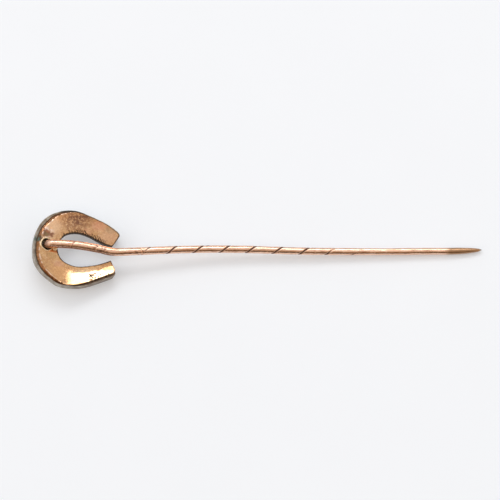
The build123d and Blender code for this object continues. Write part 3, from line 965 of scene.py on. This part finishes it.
def build_bead():
    """Rounded drop of solder lying on the plate."""
    verts = []
    for lean in np.linspace(0, math.pi, BEAD_ROWS + 1):
        for turn in circle(BEAD_COLUMNS):
            way = np.array([math.sin(lean) * math.cos(turn), math.sin(lean) * math.sin(turn), math.cos(lean)])
            verts.append(way * (1 + 0.3 * noise.noise(Vector(way * 1.7 + 2.0))) * BEAD_SIZE)
    verts = np.array(verts)
    height = verts[:, 2] + back_height(np.array(BEAD)) + BEAD_RAISED
    faces = tube_faces(BEAD_ROWS + 1, BEAD_COLUMNS)
    bead = make_object("solder_bead", on_head(verts[:, :2] + BEAD, height), faces, sharp=80)
    work = bmesh.new()
    work.from_mesh(bead.data)
    bmesh.ops.remove_doubles(work, verts=work.verts, dist=1e-7)
    work.to_mesh(bead.data)
    work.free()
    keep(bead, "gold_plate", SOLDER)


def build_setting():
    """Setting: a closed tray under the plate, its opening wider towards the front."""
    wall_rows = (SETTING_WALL - 0.01, SETTING_WALL + 0.01)
    plan, opening, outside, heel = head_grid(setting_edge, opening_edge, wall_rows)
    near_edge = np.minimum(np.minimum(opening, outside), heel)
    hollow = (near_edge > SETTING_WALL).astype(float)
    rim_height = back_height(plan, PLATE_THICKNESS + SEAM_GAP) - fall(outside, SETTING_ROUNDING)
    height = np.where(hollow > 0, front_height(plan, SETTING_FACE), rim_height)
    recess = math.tan(math.radians(OPENING_FLARE)) * (-FLARE_DEPTH - front_height(plan[:, 0]))
    flare = recess[:, None] * ease(1 - opening / FLARE_REACH)
    low_plan = plan + towards_outside(plan)[:, None] * flare[..., None]
    low = front_height(low_plan) + fall(near_edge, FRONT_EDGE) + 0.012 * np.abs(rough(plan, 1.4, 2.2))
    marks = {"opening": opening, "hollow": hollow}

    def dents(ring, rim, share):
        """Unevenness of the outer wall, most of it halfway down."""
        places = ring / MM
        size = unevenness(places, SETTING_WAVE) - 0.01
        out = places - HEAD_ORIGIN - ALONG * 0.2
        out -= (out @ NORMAL)[:, None] * NORMAL
        outer = opening.reshape(-1)[rim] >= 0.01
        return unit(out) * (outer * size * math.sin(math.pi * share))[:, None] * MM

    setting = slab("setting_worn", plan, height, low_plan, low, SETTING_LAYERS, marks, bulge=dents)
    keep(setting, "silver", SILVER, "silver_setting")


def wire_route():
    """Places along the wire's centreline, and the distance along it of each corner."""
    corners = [np.array(c) for c in WIRE_CORNERS]
    places, marks = [corners[0]], [0.0]

    def run_to(end):
        """Adds the places of a straight stretch."""
        start = places[-1]
        count = max(1, int(np.linalg.norm(end - start) / WIRE_STEP))
        places.extend(start + (end - start) * k / count for k in range(1, count + 1))

    for before, corner, after, bend in zip(corners, corners[1:], corners[2:], WIRE_BENDS):
        u, v, reach, middle, sweep = fillet(corner, before, after, bend)
        run_to(corner + u * reach)
        start, end = corner + u * reach - middle, corner + v * reach - middle
        count = max(8, int(bend * sweep / WIRE_STEP))
        first = len(places)
        places.extend(middle + swing(start, end, sweep, k / count) for k in range(1, count + 1))
        way = lengths_along(np.array(places))
        marks.append((way[first - 1] + way[-1]) / 2)
    run_to(corners[-1])
    line = np.array(places)
    return line, np.array(marks + [lengths_along(line)[-1]])


def spiral(along, radius, angle):
    """How far each place lies across the groove, in half widths, and how much of its depth is there."""
    wanted = 2 * math.pi * (along - GROOVE_FIRST_TOP) / GROOVE_PITCH
    off = (angle - wanted + math.pi) % (2 * math.pi) - math.pi
    slant = GROOVE_PITCH / math.hypot(GROOVE_PITCH, 2 * math.pi * GROOVE_WIRE_RADIUS)
    fade = np.clip(np.minimum(along - GROOVE_START, GROOVE_END - along) / GROOVE_FADE, 0, 1)
    return np.abs(off) * radius * slant / (GROOVE_WIDTH / 2), fade


def scrapes(skin, line, ring):
    """1 in the nick across the top of the wire and in two scraped places, 0 elsewhere."""
    nick_along = NICK_ALONG + NICK_SLANT * (skin[..., 1] - NICK_SIDE)
    on_top = skin[..., 2] > line[:, None, 2] - 0.1
    scraped = (1 - ease(np.abs(skin[..., 0] - nick_along) / NICK_WIDTH)) * on_top
    for middle, half_length in SCRAPES:
        zone = ease(1.3 - np.abs(skin[..., 0] - middle) / half_length) * (ring[..., 1] < 0.5)
        worn = np.clip(rough(skin, 0.32, middle) * 4 - 0.3, 0, 1) * zone
        scraped = np.maximum(scraped, worn)
    return scraped


def build_stem():
    """Stem: one wire, grooved in a spiral round its middle stretch, with a blunt point."""
    line, corners = wire_route()
    turned = np.radians(np.linspace(1.0, 89.3, POINT_RINGS))
    point = line[-1] + POINT_LENGTH * np.sin(turned)[:, None] * unit(line[-1] - line[-2])
    point[:, 1] += POINT_BEND * np.sin(turned)**2
    line = np.concatenate([line, point])
    way = lengths_along(line)
    # The point's outline is a long oval
    narrowed = np.sqrt(1 - np.clip((way - corners[-1]) / POINT_LENGTH, 0, 1)**2)[:, None]
    share = np.interp(way, corners, WIRE_TAPER)[:, None]
    plain = (SHANK_RADIUS + share * (HEAD_WIRE_RADIUS - SHANK_RADIUS)) * narrowed
    # The rings' zero angle is on top once the wire has left the elbow
    angle = circle(WIRE_SIDES)
    run = unit(np.gradient(line, axis=0))
    side = unit(np.cross((0, 0, 1), run))
    ring = rings(side, np.cross(run, side), angle)
    skin = line[:, None] + ring * plain[..., None]
    along = (way - corners[3])[:, None]
    across, fade = spiral(along, plain, angle)
    groove = GROOVE_DEPTH * fade * (1 - ease(across / GROOVE_SPREAD))
    wave = unevenness(skin * WIRE_STRETCH, WIRE_WAVE) + unevenness(skin, WIRE_GRAIN)
    wave = wave * np.clip(way / 2, 0.2, 1)[:, None] * narrowed
    scraped = scrapes(skin, line, ring)
    radius = plain + wave - groove - SCRAPE_DEPTH * scraped
    radius = np.clip(radius, 0, plain + HIGHEST_BUMP * narrowed)
    verts = (line[:, None] + ring * radius[..., None]).reshape(-1, 3)
    verts[:, 2] = np.maximum(verts[:, 2], LOWEST)
    # At its last turn only the near half is dark, and past it there is a faint trace
    dirt = np.clip(2.6 * groove / GROOVE_DEPTH, 0, 1) * np.clip(2.6 * fade, 0, 1)
    dirt = dirt * np.clip((DIRT_END - along) / 0.6, 0, 1)
    trace = (1 - ease(across)) * (1 - ease(np.abs(along - DIRT_TRACE) / 0.7))
    far_side = ease((ring[..., 1] - 0.45) / 0.2)
    spot = (1 - ease(np.abs(skin[..., 0] - FAR_MARK) / 0.4)) * far_side
    dirt = np.maximum(dirt, 0.9 * np.maximum(trace, spot))
    marks = {"scraped": scraped.reshape(-1), "groove": dirt.reshape(-1)}
    faces = tube_faces(len(line), WIRE_SIDES, "capped")
    stem = make_object("stem_worn", verts * MM, faces, marks, sharp=60)
    keep(stem, "gold_wire", WIRE, "pin_stem")


build_plate()
build_rim()
build_bead()
build_setting()
build_stem()

# Floor, light and camera: the paper, the window and their distances in metres

PAPER_SIZE = 1.6
WINDOW_WAY = (-0.01, 0.683, 0.729)
WINDOW_SIZE = (0.72, 0.32)
VIEW_AIM = Vector((-1.0801, 0.1462, 0.0)) * MM
VIEW_AZIMUTH = -0.98
VIEW_ELEVATION = 73.0
VIEW_DISTANCE = 0.4
VIEW_WIDTH = 0.0734
SENSOR = 36.0

bpy.ops.mesh.primitive_plane_add(size=PAPER_SIZE)
paper = bpy.context.object
paper.name = "paper"
paper.data.materials.append(make_paper())

world = bpy.data.worlds.new("World")
bpy.context.scene.world = world
world.use_nodes = True
sky = world.node_tree
parts = add(sky, "ShaderNodeSeparateXYZ", {0: add(sky, "ShaderNodeTexCoord").outputs["Generated"]})
# The room is brighter overhead than low down, dim in front, and bright on both sides
high = stretch(sky, parts.outputs[2], 0.05, 0.75, 0.36, 0.92)
front = stretch(sky, parts.outputs[1], -0.85, -0.05, 0.26, 1.0)
west = stretch(sky, parts.outputs[0], -0.4, -0.75, 0.0, 0.8)
east = times(sky, stretch(sky, parts.outputs[0], 0.3, 0.65, 0.0, 0.8),
             stretch(sky, parts.outputs[1], -0.1, -0.45))
glow = maths(sky, "ADD", times(sky, high, front), maths(sky, "ADD", west, east))
sky.links.new(glow, sky.nodes["Background"].inputs["Strength"])
# The dim front of the room is warm
warmth = stretch(sky, parts.outputs[1], -0.05, -0.5)
tint = blend(sky, warmth, (0.97, 0.985, 1.0), (1.0, 0.76, 0.54))
sky.links.new(tint, sky.nodes["Background"].inputs["Color"])


def area_light(name, towards, distance, size, glow, roll):
    """Rectangle light facing the object. glow is its own brightness seen from the object."""
    data = bpy.data.lights.new(name, "AREA")
    data.shape = "RECTANGLE"
    data.size, data.size_y = size
    data.energy = glow * math.pi * size[0] * size[1]
    lamp = bpy.data.objects.new(name, data)
    bpy.context.scene.collection.objects.link(lamp)
    place = Vector(towards).normalized() * distance
    lamp.location = place
    lamp.rotation_mode = "QUATERNION"
    rolled = Quaternion((0, 0, 1), math.radians(roll))
    lamp.rotation_quaternion = (-place).to_track_quat("-Z", "Y") @ rolled


area_light("North window", WINDOW_WAY, distance=1.0, size=WINDOW_SIZE, glow=4.0, roll=12)

azimuth, elevation = math.radians(VIEW_AZIMUTH), math.radians(VIEW_ELEVATION)
back = Vector((math.sin(azimuth) * math.cos(elevation), -math.cos(azimuth) * math.cos(elevation),
               math.sin(elevation)))
camera = bpy.data.objects.new("Camera", bpy.data.cameras.new("Camera"))
bpy.context.scene.collection.objects.link(camera)
camera.data.sensor_width = SENSOR
camera.data.lens = SENSOR * VIEW_DISTANCE / VIEW_WIDTH
camera.data.clip_start, camera.data.clip_end = 0.01, 10.0
camera.location = VIEW_AIM + back * VIEW_DISTANCE
camera.rotation_mode = "QUATERNION"
camera.rotation_quaternion = (-back).to_track_quat("-Z", "Y")
bpy.context.scene.camera = camera
bpy.context.scene.view_settings.view_transform = "Standard"
